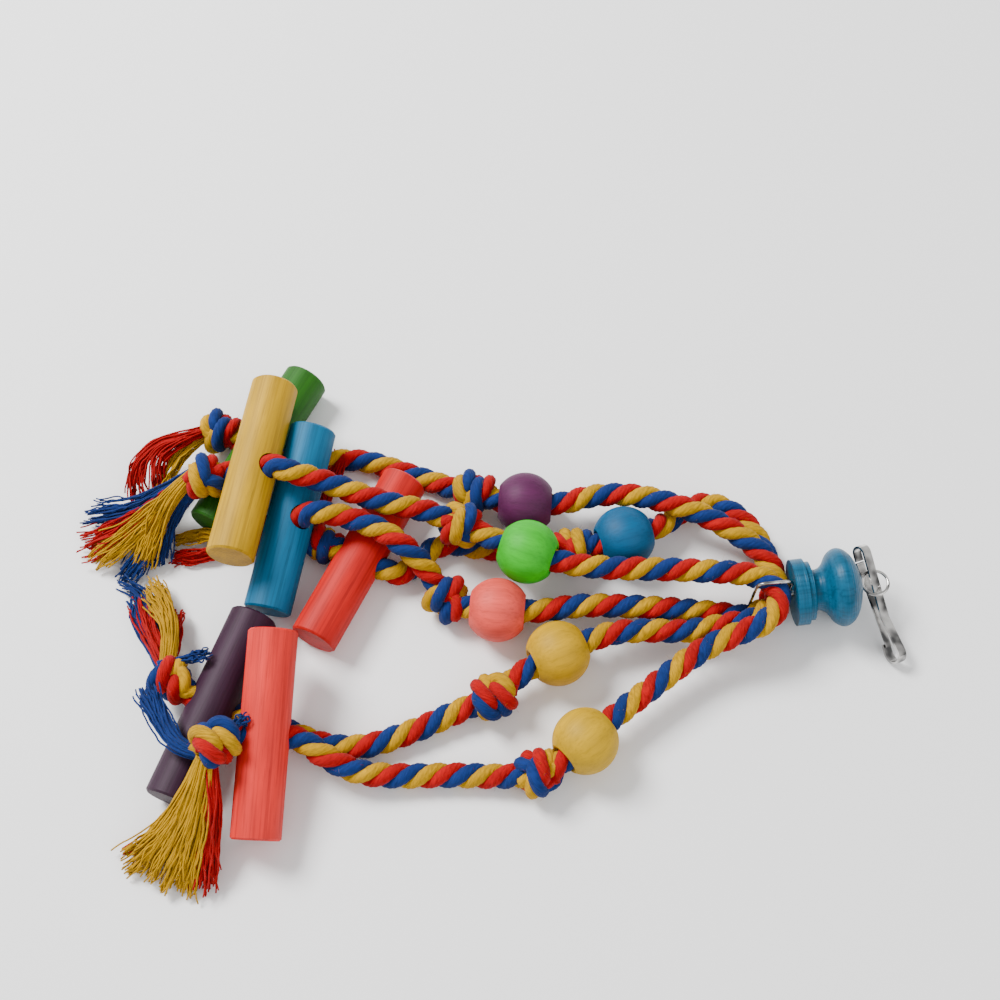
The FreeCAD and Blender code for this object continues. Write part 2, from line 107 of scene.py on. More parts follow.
# Knots: centre, direction from the bead's side, radius, half length, turn about that direction.
KNOTS = {
    "purple_bead": ((-3.0, 41.0, 7.2), (-1.0, 0.35, -0.2), 7.0, 5.6, 20.0),
    "green_bead": ((-7.2, 26.2, 15.4), (-0.9, 0.3, 0.2), 7.0, 5.6, 150.0),
    "coral_bead": ((-11.0, 4.6, 7.2), (-0.8, 0.6, 0.2), 7.0, 5.6, 250.0),
    "blue_bead": ((28.6, 20.6, 7.2), (-1.0, 0.0, -0.2), 7.0, 5.6, 70.0),
    "yellow_bead": ((3.2, -27.2, 7.2), (-0.85, -0.45, -0.2), 7.0, 5.6, 310.0),
    "lemon_bead": ((16.6, -51.6, 7.2), (-0.95, -0.1, -0.2), 7.0, 5.6, 120.0),
    "green_end": ((-88.0, 63.6, 7.2), (-0.85, 0.45, 0.0), 6.6, 4.4, 40.0),
    "yellow_end": ((-88.2, 40.6, 21.6), (-1.0, -0.1, 0.0), 6.6, 4.8, 200.0),
    "blue_end": ((-74.5, 27.0, 5.8), (-0.8, -0.6, 0.0), 5.6, 4.4, 90.0),
    "coral_end": ((-51.6, 23.6, 5.6), (-0.9, 0.43, 0.0), 5.0, 4.0, 10.0),
    "purple_end": ((-94.4, -23.0, 10.0), (-0.9, 0.4, 0.1), 6.4, 4.8, 280.0),
    "red_end": ((-77.5, -46.2, 22.0), (-0.6, -0.6, 0.2), 7.0, 5.6, 60.0),
}

# One knot's line: distance along, angle round and distance out from its middle.
KNOT_WRAP = [
    (-4.4, 0, 0.0), (-1.2, 10, 0.8), (2.0, 45, 2.4), (2.9, 95, 3.6), (2.7, 150, 4.0),
    (1.9, 215, 4.0), (1.0, 280, 4.0), (0.0, 345, 4.0), (-1.0, 410, 4.0), (-2.0, 475, 4.0),
    (-2.9, 540, 3.6), (-2.0, 600, 2.4), (1.2, 640, 1.6), (4.4, 660, 0.4),
]

# Routes between the beads and the fold at the wire.
UPPER = {
    "green_lemon": ("green", "lemon", [
        (36.0, 10.6, 17.4), (53.0, 10.4, 17.0), (70.0, 9.8, 16.8),
        (83.0, 8.8, 17.0), (90.2, 5.2, 17.0),
        (91.2, -1.4, 17.0), (86.0, -7.6, 16.4), (77.0, -10.2, 14.6),
        (66.2, -14.4, 11.5), (54.4, -23.2, 10.2),
    ]),
    "purple_yellow": ("purple", "yellow", [
        (34.0, 38.8, 10.9), (47.0, 38.6, 12.6), (59.0, 35.2, 13.4),
        (70.0, 31.0, 13.0), (80.0, 25.4, 11.8), (88.0, 18.8, 10.9),
        (92.2, 10.6, 10.6),
        (91.4, 2.4, 10.3), (85.2, -3.8, 10.3), (75.0, -5.2, 9.6),
        (63.6, -7.2, 8.6), (52.0, -7.0, 9.4), (41.0, -7.6, 10.0),
    ]),
    "blue_coral": ("blue", "coral", [
        (60.0, 32.6, 5.2), (67.0, 38.6, 3.9), (75.4, 39.6, 3.9),
        (83.6, 34.4, 3.9), (89.2, 25.4, 4.0), (92.2, 15.0, 4.2),
        (91.4, 5.4, 4.2), (85.0, -0.8, 4.2), (75.0, 0.6, 4.4),
        (62.0, 0.8, 7.2), (46.0, 1.0, 9.6), (29.0, 1.2, 10.1),
    ]),
}

# Routes between the beads' knots and the dowels.
LOWER = {
    "green": ("purple", [
        (-17.0, 47.0, 3.9), (-29.0, 51.6, 3.9), (-41.0, 55.6, 3.9),
        (-53.0, 55.2, 3.9), (-60.0, 52.2, 4.6),
    ]),
    "yellow": ("green", [
        (-17.0, 30.0, 18.0), (-27.4, 30.6, 20.2), (-38.0, 33.4, 21.6),
        (-48.4, 36.4, 24.6), (-57.2, 37.6, 28.2), (-62.4, 38.6, 29.8),
    ]),
    "blue": ("coral", [
        (-17.4, 12.0, 12.4), (-24.6, 17.4, 19.2), (-32.4, 22.6, 20.0),
        (-40.6, 26.0, 20.4), (-49.0, 27.2, 22.4), (-54.0, 27.6, 22.4),
    ]),
    "coral": ("blue", [
        (14.0, 22.4, 3.9), (-1.0, 23.0, 3.9), (-12.0, 25.4, 3.9),
        (-19.4, 21.6, 3.9), (-25.0, 13.8, 4.6),
    ]),
    "purple": ("yellow", [
        (-8.0, -31.4, 4.0), (-22.0, -38.0, 3.9), (-37.0, -43.0, 3.9),
        (-49.0, -42.0, 3.9), (-59.6, -37.4, 3.9), (-67.0, -34.8, 3.9),
    ]),
    "red": ("lemon", [
        (4.0, -51.6, 3.9), (-10.0, -51.0, 3.9), (-25.0, -51.6, 4.2),
        (-38.0, -51.2, 6.8), (-48.6, -46.4, 10.8),
    ]),
}

# Tassels: for each tuft its colour, threads, line, and spread at the start and at the tips.
TASSELS = {
    "green": [
        ("red", 22, [(-91.0, 65.0, 8.0), (-97.0, 60.0, 12.0), (-108.0, 57.0, 13.0),
                     (-116.5, 48.0, 8.0), (-114.0, 39.0, 2.0)], 2.0, 3.4),
        ("red", 16, [(-91.0, 65.0, 8.0), (-99.0, 58.0, 13.0), (-109.0, 50.0, 12.0),
                     (-106.0, 40.0, 6.0)], 2.0, 2.6),
        ("yellow", 20, [(-91.0, 65.0, 7.0), (-98.0, 58.0, 10.0), (-104.0, 48.0, 9.0),
                        (-108.0, 38.0, 5.0)], 2.2, 2.6),
    ],
    "yellow": [
        ("blue", 30, [(-90.6, 43.0, 21.0), (-102.5, 38.5, 14.0), (-116.0, 35.0, 6.5),
                      (-131.0, 36.0, 2.6)], 2.0, 4.4),
        ("red", 44, [(-91.0, 42.4, 20.0), (-104.3, 35.0, 12.0), (-119.6, 27.5, 5.0),
                     (-131.4, 23.6, 2.2)], 2.2, 5.2),
        ("yellow", 44, [(-91.0, 41.6, 21.0), (-103.5, 33.6, 13.0), (-116.0, 24.6, 6.5),
                        (-127.0, 18.6, 2.4)], 2.2, 4.6),
        ("blue", 34, [(-91.0, 40.4, 18.0), (-103.4, 31.7, 9.0), (-111.0, 20.0, 4.0),
                      (-116.7, 12.2, 1.6)], 2.0, 4.0),
        ("yellow", 70, [(-90.6, 41.2, 22.4), (-99.0, 36.4, 18.0), (-106.4, 27.4, 10.0),
                        (-111.4, 16.6, 2.4)], 2.4, 4.0),
        ("blue", 40, [(-91.0, 38.6, 19.0), (-98.4, 33.6, 13.0), (-103.6, 26.0, 6.5),
                      (-105.4, 16.8, 2.0)], 1.8, 2.4),
    ],
    "blue": [
        ("yellow", 26, [(-78.0, 24.6, 5.6), (-88.0, 28.0, 4.6), (-95.0, 28.4, 3.2),
                        (-101.4, 26.8, 1.6)], 1.8, 1.8),
        ("red", 26, [(-78.0, 23.6, 4.6), (-88.0, 21.6, 3.2), (-95.0, 20.8, 2.4),
                     (-101.4, 20.4, 1.4)], 1.8, 2.4),
    ],
    "coral": [
        ("red", 26, [(-53.8, 26.4, 5.0), (-53.4, 36.0, 4.6), (-51.0, 46.0, 3.6),
                     (-46.4, 58.0, 6.0)], 1.8, 2.2),
        ("yellow", 12, [(-53.8, 26.0, 5.0), (-55.0, 34.0, 4.0), (-54.0, 42.0, 2.0)], 1.4, 1.8),
    ],
    "purple": [
        ("red", 30, [(-96.6, -20.0, 10.0), (-103.0, -9.3, 7.4), (-106.8, -0.2, 5.0),
                     (-109.4, 7.4, 2.2)], 2.0, 3.0),
        ("blue", 34, [(-97.4, -20.6, 8.6), (-102.4, -12.0, 6.0), (-108.0, -3.0, 4.0),
                      (-112.4, 7.0, 1.8)], 2.0, 2.6),
        ("blue", 18, [(-97.4, -20.0, 7.6), (-102.0, -6.0, 4.0), (-108.5, 9.0, 3.0),
                      (-118.0, 13.0, 1.6)], 1.8, 2.6),
        ("yellow", 60, [(-96.4, -19.6, 11.0), (-96.4, -8.0, 9.6), (-100.6, 2.0, 6.6),
                        (-107.4, 11.6, 3.0)], 2.4, 3.4),
        ("red", 14, [(-95.6, -19.0, 10.0), (-94.4, -8.0, 8.0), (-96.0, 2.0, 4.0)], 1.4, 1.6),
        ("blue", 12, [(-93.4, -18.0, 12.0), (-88.6, -17.6, 15.6), (-82.6, -17.0, 16.4)], 1.2, 1.8),
    ],
    "red": [
        ("blue", 54, [(-80.6, -49.4, 20.6), (-87.6, -48.4, 20.6), (-95.0, -38.4, 18.4),
                      (-101.4, -27.0, 16.4)], 2.0, 3.0),
        ("red", 46, [(-79.6, -51.0, 21.0), (-78.4, -62.0, 17.4), (-80.4, -74.0, 8.6),
                     (-82.4, -85.6, 1.8)], 2.2, 3.4),
        ("red", 40, [(-79.0, -50.6, 20.6), (-76.8, -62.0, 17.0), (-78.4, -74.0, 9.0),
                     (-79.4, -83.6, 1.8)], 2.0, 2.0),
        ("yellow", 60, [(-80.0, -51.4, 22.0), (-82.6, -60.6, 18.4), (-88.4, -71.6, 9.8),
                        (-96.4, -83.0, 2.2)], 2.4, 6.0),
        ("yellow", 40, [(-80.4, -50.6, 21.4), (-84.8, -60.6, 16.6), (-94.6, -71.8, 7.0),
                        (-105.4, -78.6, 2.0)], 2.2, 3.8),
        ("yellow", 34, [(-79.6, -51.6, 22.0), (-81.0, -62.0, 17.4), (-84.6, -74.6, 9.0),
                        (-88.4, -86.2, 1.8)], 2.2, 4.2),
        ("red", 8, [(-80.6, -51.0, 20.0), (-88.1, -64.0, 12.0), (-97.5, -70.7, 5.0),
                    (-105.2, -74.3, 1.5)], 1.4, 3.0),
        ("blue", 10, [(-73.6, -44.0, 23.6), (-71.4, -40.0, 23.6), (-68.6, -38.6, 23.0)],
         1.0, 1.6),
    ],
}

DYES = {
    "knob": (0.001, 0.085, 0.165),
    "bead_purple": (0.080, 0.010, 0.056),
    "bead_green": (0.020, 0.420, 0.008),
    "bead_coral": (0.740, 0.075, 0.055),
    "bead_blue": (0.001, 0.080, 0.190),
    "bead_yellow": (0.500, 0.285, 0.000),
    "bead_lemon": (0.500, 0.295, 0.000),
    "dowel_green": (0.014, 0.110, 0.003),
    "dowel_yellow": (0.480, 0.270, 0.000),
    "dowel_blue": (0.000, 0.125, 0.260),
    "dowel_coral": (0.520, 0.006, 0.004),
    "dowel_purple": (0.030, 0.007, 0.024),
    "dowel_red": (0.680, 0.024, 0.018),
}

COTTON = {
    "red": (0.360, 0.001, 0.002),
    "yellow": (0.450, 0.240, 0.000),
    "blue": (0.006, 0.024, 0.130),
}
COLOURS = ["red", "yellow", "blue"]


def heading(azimuth, rise=0.0):
    """Unit vector at an azimuth from +X towards +Y, raised by a second angle, in degrees."""
    a = math.radians(azimuth)
    r = math.radians(rise)
    return Vector((math.cos(a) * math.cos(r), math.sin(a) * math.cos(r), math.sin(r)))


# ---- Lines ------------------------------------------------------------------------------
def through_bead(name):
    """Both ends of a rope's straight run through a bead."""
    centre, azimuth = BEADS[name]
    axis = heading(azimuth)
    reach = BEAD_LENGTH / 2 + RUN_OUT
    return Vector(centre) + axis * reach, Vector(centre) - axis * reach


def through_dowel(name):
    """Both ends of a rope's straight run through a dowel, bead side first."""
    centre, azimuth, rise, rope_rise = DOWELS[name]
    along = heading(azimuth, rise)
    level = -along.cross(Vector((0, 0, 1))).normalized()
    up = along.cross(level).normalized()
    if up.z < 0:
        up = -up
    r = math.radians(rope_rise)
    rope = level * math.cos(r) + up * math.sin(r)
    reach = DOWEL_R + RUN_OUT
    return Vector(centre) + rope * reach, Vector(centre) - rope * reach


def knot_ports(name):
    """Where the rope ends inside a knot, bead side first."""
    centre, direction, _, half, _ = KNOTS[name]
    depth = Vector(direction).normalized() * (half - KNOT_SOCKET)
    return Vector(centre) - depth, Vector(centre) + depth


def upper_route(name):
    """A folded rope's route, from one bead's knot to the other's."""
    first, last, middle = UPPER[name]
    start_near, start_far = through_bead(first)
    end_near, end_far = through_bead(last)
    start = [knot_ports(first + "_bead")[0], start_far, start_near]
    end = [end_near, end_far, knot_ports(last + "_bead")[0]]
    return start + [Vector(p) for p in middle] + end


def lower_route(name):
    """A leg's route from its bead's knot through its dowel to the end knot."""
    bead, middle = LOWER[name]
    near, far = through_dowel(name)
    start = [knot_ports(bead + "_bead")[1]]
    return start + [Vector(p) for p in middle] + [near, far, knot_ports(name + "_end")[0]]


def smooth_line(points):
    """Points along the smooth line that a route's points control."""
    curve = bpy.data.curves.new("line", "CURVE")
    curve.dimensions = "3D"
    spline = curve.splines.new("NURBS")
    spline.points.add(len(points) - 1)
    for control, place in zip(spline.points, points):
        control.co = (place.x, place.y, place.z, 1.0)
    spline.order_u = 3
    spline.use_endpoint_u = True
    spline.resolution_u = 16
    holder = bpy.data.objects.new("line", curve)
    bpy.context.scene.collection.objects.link(holder)
    bpy.context.view_layer.update()
    evaluated = holder.evaluated_get(bpy.context.evaluated_depsgraph_get())
    mesh = bpy.data.meshes.new_from_object(evaluated)
    line = [v.co.copy() for v in mesh.vertices]
    bpy.data.meshes.remove(mesh)
    bpy.data.objects.remove(holder)
    bpy.data.curves.remove(curve)
    return line


def line_length(line):
    """Length of a line of points, in millimetres."""
    return sum((b - a).length for a, b in zip(line, line[1:]))


def even_line(line, step):
    """The same line with its points a step apart."""
    total = line_length(line)
    count = max(2, round(total / step))
    spacing = total / count
    result = [line[0].copy()]
    walked = 0.0
    for a, b in zip(line, line[1:]):
        run = (b - a).length
        while len(result) < count and walked + run >= len(result) * spacing:
            result.append(a.lerp(b, (len(result) * spacing - walked) / run))
        walked += run
    result.append(line[-1].copy())
    return result


def frames_along(line):
    """Each point with its tangent and two normals, turned as little as possible on the way."""
    result = []
    normal = None
    last = len(line) - 1
    for i, point in enumerate(line):
        tangent = (line[min(i + 1, last)] - line[max(i - 1, 0)]).normalized()
        if normal is None:
            normal = tangent.orthogonal().normalized()
        normal = (normal - tangent * normal.dot(tangent)).normalized()
        result.append((point, tangent, normal, tangent.cross(normal)))
    return result


# ---- Meshes -----------------------------------------------------------------------------
class Builder:
    """Collects tubes: points in millimetres, faces, a material number and a thread position."""

    def __init__(self):
        self.points = []
        self.faces = []
        self.slots = []
        self.thread = []

    def tube(self, rings, slot, thread):
        """Add a closed tube through rings of points."""
        first = len(self.points)
        sides = len(rings[0])
        for ring in rings:
            self.points.extend(ring)
        self.thread.extend(thread)
        for i in range(len(rings) - 1):
            a = first + i * sides
            b = a + sides
            for j in range(sides):
                k = (j + 1) % sides
                self.faces.append((a + j, a + k, b + k, b + j))
        self.faces.append(tuple(range(first + sides - 1, first - 1, -1)))
        end = first + (len(rings) - 1) * sides
        self.faces.append(tuple(range(end, end + sides)))
        self.slots.extend([slot] * (len(self.faces) - len(self.slots)))

    def make(self, name, materials, body):
        """One object that rides on a body."""
        data = bpy.data.meshes.new(name)
        data.from_pydata([(p.x * MM, p.y * MM, p.z * MM) for p in self.points], [], self.faces)
        data.polygons.foreach_set("material_index", self.slots)
        data.polygons.foreach_set("use_smooth", [True] * len(self.faces))
        thread = data.attributes.new("thread", "FLOAT_VECTOR", "POINT")
        thread.data.foreach_set("vector", [c for v in self.thread for c in v])
        for material in materials:
            data.materials.append(material)
        piece = bpy.data.objects.new(name, data)
        bpy.context.scene.collection.objects.link(piece)
        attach(piece, body)
        return piece


def lay_strands(builder, line, diameter, phase):
    """Three strands twisted along a line, each with its yarns showing as ridges."""
    scale = diameter / ROPE_D
    points = even_line(line, STRAND_STEP)
    spacing = line_length(points) / (len(points) - 1)
    frames = frames_along(points)
    for strand in range(3):
        centres = []
        for i, (point, _, normal, binormal) in enumerate(frames):
            turn = phase + 2 * math.pi * (strand / 3 - i * spacing / ROPE_PITCH)
            out = normal * math.cos(turn) + binormal * math.sin(turn)
            centres.append((point + out * (STRAND_CENTRE * scale), out))
        rings = []
        thread = []
        last = len(centres) - 1
        for i, (centre, out) in enumerate(centres):
            ahead = (centres[min(i + 1, last)][0] - centres[max(i - 1, 0)][0]).normalized()
            side = ahead.cross(out).normalized()
            up = side.cross(ahead)
            roll = 2 * math.pi * i * spacing / YARN_LENGTH
            swell = 1 + 0.05 * noise.noise(Vector((i * spacing * 0.25, strand * 7.3, phase)))
            ring = []
            for j in range(STRAND_SIDES):
                a = 2 * math.pi * j / STRAND_SIDES
                ridge = abs(math.cos(YARNS * (a + roll) / 2)) - 0.6
                r = STRAND_R * scale * swell * (1 + YARN_DEPTH * ridge)
                ring.append(centre + up * (r * math.cos(a)) + side * (r * math.sin(a)))
                around = math.sin((a + roll) * 0.5) * 3.0
                thread.append((i * spacing, around, strand * 5.0))
            rings.append(ring)
        builder.tube(rings, strand, thread)


def hair(builder, start, direction, length, radius, bend, slot):
    """One fine fibre that curls away from a surface."""
    rings = []
    thread = []
    side = direction.orthogonal().normalized()
    up = direction.cross(side)
    point = start.copy()
    for i in range(5):
        r = radius * (1 - 0.15 * i)
        rings.append([
            point + side * (r * math.cos(a)) + up * (r * math.sin(a)) for a in (0.0, 2.1, 4.2)
        ])
        thread.extend([(i, 0.0, 0.0)] * 3)
        direction = (direction + bend * 0.3).normalized()
        point = point + direction * (length / 4)
        point.z = max(point.z, HAIR_FLOOR_GAP)
    builder.tube(rings, slot, thread)


def fuzz(builder, line, diameter, count, seed):
    """Loose cotton fibres standing off a rope."""
    rng = random.Random(seed)
    frames = frames_along(line)
    for _ in range(count):
        point, tangent, normal, binormal = frames[rng.randrange(2, len(frames) - 2)]
        a = rng.uniform(0, 2 * math.pi)
        out = normal * math.cos(a) + binormal * math.sin(a)
        start = point + out * (diameter * 0.47)
        across = tangent.cross(out)
        way = out * rng.uniform(0.3, 1.0) + tangent * rng.uniform(-1, 1)
        way = (way + across * rng.uniform(-1, 1)).normalized()
        bend = Vector((rng.uniform(-1, 1), rng.uniform(-1, 1), rng.uniform(-1, 1)))
        length = rng.uniform(HAIR_SHORTEST, HAIR_LONGEST)
        hair(builder, start, way, length, HAIR_R, bend, rng.randrange(3))


# ---- Materials --------------------------------------------------------------------------
def new_material(name):
    """A material with its node tree and its shader."""
    material = bpy.data.materials.new(name)
    material.use_nodes = True
    tree = material.node_tree
    return material, tree, tree.nodes["Principled BSDF"]


def scaled(tree, vector, factors):
    """A vector multiplied by three constants."""
    node = tree.nodes.new("ShaderNodeVectorMath")
    node.operation = "MULTIPLY"
    tree.links.new(vector, node.inputs[0])
    node.inputs[1].default_value = factors
    return node.outputs[0]


def noise_value(tree, vector, scale, detail):
    """A noise level between 0 and 1."""
    node = tree.nodes.new("ShaderNodeTexNoise")
    tree.links.new(vector, node.inputs["Vector"])
    node.inputs["Scale"].default_value = scale
    node.inputs["Detail"].default_value = detail
    return node.outputs[0]


def ramp(tree, value, stops):
    """A colour or grey level read from a value."""
    node = tree.nodes.new("ShaderNodeValToRGB")
    tree.links.new(value, node.inputs[0])
    elements = node.color_ramp.elements
    while len(elements) < len(stops):
        elements.new(0.5)
    for element, (place, colour) in zip(elements, stops):
        element.position = place
        element.color = (*colour, 1.0)
    return node.outputs[0]


def blended(tree, factor, first, second, kind):
    """Two colours mixed by a factor, which is a number or a socket."""
    node = tree.nodes.new("ShaderNodeMix")
    node.data_type = "RGBA"
    node.blend_type = kind
    if isinstance(factor, float):
        node.inputs[0].default_value = factor
    else:
        tree.links.new(factor, node.inputs[0])
    tree.links.new(first, node.inputs[6])
    tree.links.new(second, node.inputs[7])
    return node.outputs[2]


def raised(tree, shader, height, distance, strength):
    """Fine relief from a height value."""
    node = tree.nodes.new("ShaderNodeBump")
    node.inputs["Strength"].default_value = strength
    node.inputs["Distance"].default_value = distance
    tree.links.new(height, node.inputs["Height"])
    tree.links.new(node.outputs[0], shader.inputs["Normal"])


def tone(colour, factor):
    """A colour made darker or lighter."""
    return tuple(min(1.0, c * factor) for c in colour)


def dyed_wood(name, colour, centre, along, figure):
    """Dyed wood whose grain runs along one direction, with streaks and open pores."""
    material, tree, shader = new_material(name)
    place = tree.nodes.new("ShaderNodeTexCoord").outputs["Object"]
    grain = tree.nodes.new("ShaderNodeMapping")
    grain.vector_type = "TEXTURE"
    grain.inputs["Location"].default_value = Vector(centre) * MM
    grain.inputs["Rotation"].default_value = along.to_track_quat("X", "Z").to_euler()
    grain.inputs["Scale"].default_value = (MM, MM, MM)
    tree.links.new(place, grain.inputs["Vector"])
    local = grain.outputs[0]
    broad = noise_value(tree, scaled(tree, local, (0.04, 0.22, 0.22)), 1.0, 3.0)
    streak = noise_value(tree, scaled(tree, local, (0.035, 1.3, 1.3)), 1.0, 4.0)
    pore = noise_value(tree, scaled(tree, local, (0.16, 5.5, 5.5)), 1.0, 2.0)
    base = ramp(tree, broad, [(0.3, tone(colour, 0.74)), (0.7, tone(colour, 1.12))])
    lines = ramp(tree, streak, [(0.34, (0.52, 0.48, 0.46)), (0.5, (1.0, 1.0, 1.0)),
                                (0.75, (1.1, 1.1, 1.1))])
    dots = ramp(tree, pore, [(0.27, (0.32, 0.28, 0.26)), (0.36, (1.0, 1.0, 1.0))])
    stained = blended(tree, figure, base, lines, "MULTIPLY")
    stained = blended(tree, figure, stained, dots, "MULTIPLY")
    tree.links.new(stained, shader.inputs["Base Color"])
    shader.inputs["Roughness"].default_value = 0.55
    shader.inputs["Specular IOR Level"].default_value = 0.22
    raised(tree, shader, blended(tree, 0.5, streak, pore, "MIX"), 0.0002, 0.5)
    return material


def turned_wood(name, colour):
    """Dyed wood with the fine rings that turning leaves, about the knob's axis."""
    material = dyed_wood(name, colour, KNOB_FACE, heading(KNOB_HEADING, KNOB_RISE),
                          KNOB_FIGURE)
    tree = material.node_tree
    shader = tree.nodes["Principled BSDF"]
    grain = [n for n in tree.nodes if n.type == "MAPPING"][0].outputs[0]
    rings = noise_value(tree, scaled(tree, grain, (2.6, 0.05, 0.05)), 1.0, 3.0)
    light = ramp(tree, rings, [(0.35, (0.72, 0.74, 0.76)), (0.6, (1.12, 1.12, 1.12))])
    old = shader.inputs["Base Color"].links[0].from_socket
    tree.links.new(blended(tree, 0.6, old, light, "MULTIPLY"), shader.inputs["Base Color"])
    raised(tree, shader, rings, 0.0003, 0.6)
    shader.inputs["Roughness"].default_value = 0.36
    return material


def cotton(name, colour):
    """Spun cotton: fibres along each yarn, uneven dye, a soft sheen."""
    material, tree, shader = new_material(name)
    attribute = tree.nodes.new("ShaderNodeAttribute")
    attribute.attribute_name = "thread"
    along = attribute.outputs["Vector"]
    fibre = noise_value(tree, scaled(tree, along, (0.9, 5.0, 1.0)), 1.0, 4.0)
    place = tree.nodes.new("ShaderNodeTexCoord").outputs["Object"]
    patch = noise_value(tree, place, 160.0, 3.0)
    base = ramp(tree, fibre, [(0.28, tone(colour, 0.62)), (0.5, colour),
                              (0.72, tone(colour, 1.3))])
    shade = ramp(tree, patch, [(0.3, (0.8, 0.8, 0.8)), (0.65, (1.08, 1.08, 1.08))])
    tree.links.new(blended(tree, 0.8, base, shade, "MULTIPLY"), shader.inputs["Base Color"])
    shader.inputs["Roughness"].default_value = 0.9
    shader.inputs["Specular IOR Level"].default_value = 0.15
    shader.inputs["Sheen Weight"].default_value = 0.04
    shader.inputs["Sheen Roughness"].default_value = 0.5
    raised(tree, shader, fibre, 0.0004, 0.7)
    return material


def nickel():
    """Bright plated strip, with painted reflection: dark and light stripes such as a room leaves
    in it.
    """
    material, tree, shader = new_material("bright_nickel")
    place = tree.nodes.new("ShaderNodeTexCoord").outputs["Object"]
    reflection_bands = noise_value(tree, place, 210.0, 1.0)
    marks = noise_value(tree, place, 900.0, 3.0)
    shader.inputs["Metallic"].default_value = 1.0
    # Painted reflection: dark and light stripes in the metal's colour stand in for the room
    # reflected in it.
    painted_reflection_tint = ramp(tree, reflection_bands, [(0.36, (0.10, 0.10, 0.10)), (0.5, (0.42, 0.41, 0.40)),
                              (0.64, (0.78, 0.77, 0.74))])
    tree.links.new(painted_reflection_tint, shader.inputs["Base Color"])
    dull = ramp(tree, marks, [(0.3, (0.10, 0.10, 0.10)), (0.7, (0.22, 0.22, 0.22))])
    tree.links.new(dull, shader.inputs["Roughness"])
    return material


def plain(name, colour, roughness):
    """A material of one colour."""
    material, _, shader = new_material(name)
    shader.inputs["Base Color"].default_value = (*colour, 1.0)
    shader.inputs["Roughness"].default_value = roughness
    return material


# ---- Ropes, knots and tassels -------------------------------------------------------------
def make_rope(name, node, points, seed, materials):
    """One twisted rope with its loose fibres."""
    line = smooth_line(points)
    builder = Builder()
    lay_strands(builder, line, ROPE_D, seed * 1.3)
    fuzz(builder, even_line(line, STRAND_STEP), ROPE_D, int(line_length(line)), seed)
    piece = builder.make(name, materials, "ropes")
    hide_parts(node)
    path = [tuple(p * MM) for p in even_line(line, PATH_STEP)]


def knot_line(name):
    """The line that a knot's rope takes, wound about the knot's direction."""
    centre, direction, radius, _, turn = KNOTS[name]
    axis = Vector(direction).normalized()
    side = axis.orthogonal().normalized()
    up = axis.cross(side)
    scale = radius / KNOT_FULL_R
    points = []
    for along, angle, out in KNOT_WRAP:
        a = math.radians(angle + turn)
        spoke = side * math.cos(a) + up * math.sin(a)
        point = Vector(centre) + axis * (along * scale) + spoke * (out * scale)
        point.z = max(point.z, KNOT_ROPE_D / 2 + KNOT_FLOOR_GAP)
        points.append(point)
    return smooth_line(points)


def make_knot(name, seed, materials):
    """One knot of twisted rope."""
    line = knot_line(name)
    builder = Builder()
    lay_strands(builder, line, KNOT_ROPE_D, seed * 0.9)
    fuzz(builder, even_line(line, STRAND_STEP), KNOT_ROPE_D, KNOT_HAIRS, seed)
    piece = builder.make("rope_knot_" + name, materials, "ropes")
    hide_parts("knot_" + name)


def tuft(builder, colour, count, points, start_spread, tip_spread, rng):
    """Threads that leave a knot together and part towards their tips."""
    line = even_line(smooth_line([Vector(p) for p in points]), 0.5)
    last = len(line) - 1
    for _ in range(int(count * THREAD_SHARE)):
        angle = rng.uniform(0, 2 * math.pi)
        reach = math.sqrt(rng.random())
        start_side = math.cos(angle) * reach * start_spread
        start_up = math.sin(angle) * reach * start_spread
        tip_side = math.cos(angle + rng.uniform(-0.6, 0.6)) * reach * tip_spread
        tip_up = math.sin(angle) * reach * min(tip_spread, TUFT_FLAT) * 0.6
        share = rng.uniform(0.82, 1.0)
        wander = rng.uniform(0, 100)
        sway = rng.uniform(0.6, 2.8)
        frizz = rng.uniform(0.3, 1.5)
        if rng.random() < STRAY_SHARE:
            tip_side *= STRAY_REACH
        places = []
        for i in range(THREAD_STEPS + 1):
            t = i / THREAD_STEPS
            k = t * share * last
            at = min(int(k), last - 1)
            point = line[at].lerp(line[at + 1], k - at)
            ahead = (line[min(at + 4, last)] - line[max(at - 4, 0)]).normalized()
            side = ahead.cross(Vector((0, 0, 1))).normalized()
            up = side.cross(ahead)
            part = t ** 1.3
            wave = noise.noise_vector(Vector((t * 2.4, wander, 0.0))) * (sway * t)
            crimp = noise.noise_vector(Vector((t * 9.0, wander, 5.0))) * (frizz * t)
            point = point + side * (start_side * (1 - part) + tip_side * part)
            point = point + up * (start_up * (1 - part) + tip_up * part) + wave + crimp
            point.z = max(point.z, THREAD_R + THREAD_FLOOR_GAP)
            places.append(point)
        rings = []
        thread = []
        for i, (point, _, normal, binormal) in enumerate(frames_along(places)):
            r = THREAD_R * (1.0 - 0.25 * i / THREAD_STEPS)
            ring = []
            for j in range(THREAD_SIDES):
                a = 2 * math.pi * j / THREAD_SIDES
                ring.append(point + normal * (r * math.cos(a)) + binormal * (r * math.sin(a)))
                thread.append((i * 1.6, j * 0.5, wander))
            rings.append(ring)
        builder.tube(rings, COLOURS.index(colour), thread)


def make_tassel(name, seed, materials):
    """One frayed end, made of all its tufts."""
    builder = Builder()
    rng = random.Random(seed)
    for colour, count, points, start_spread, tip_spread in TASSELS[name]:
        tuft(builder, colour, count, points, start_spread, tip_spread, rng)
    piece = builder.make("thread_tassel_" + name, materials, "ropes")
    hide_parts("tassel_" + name)


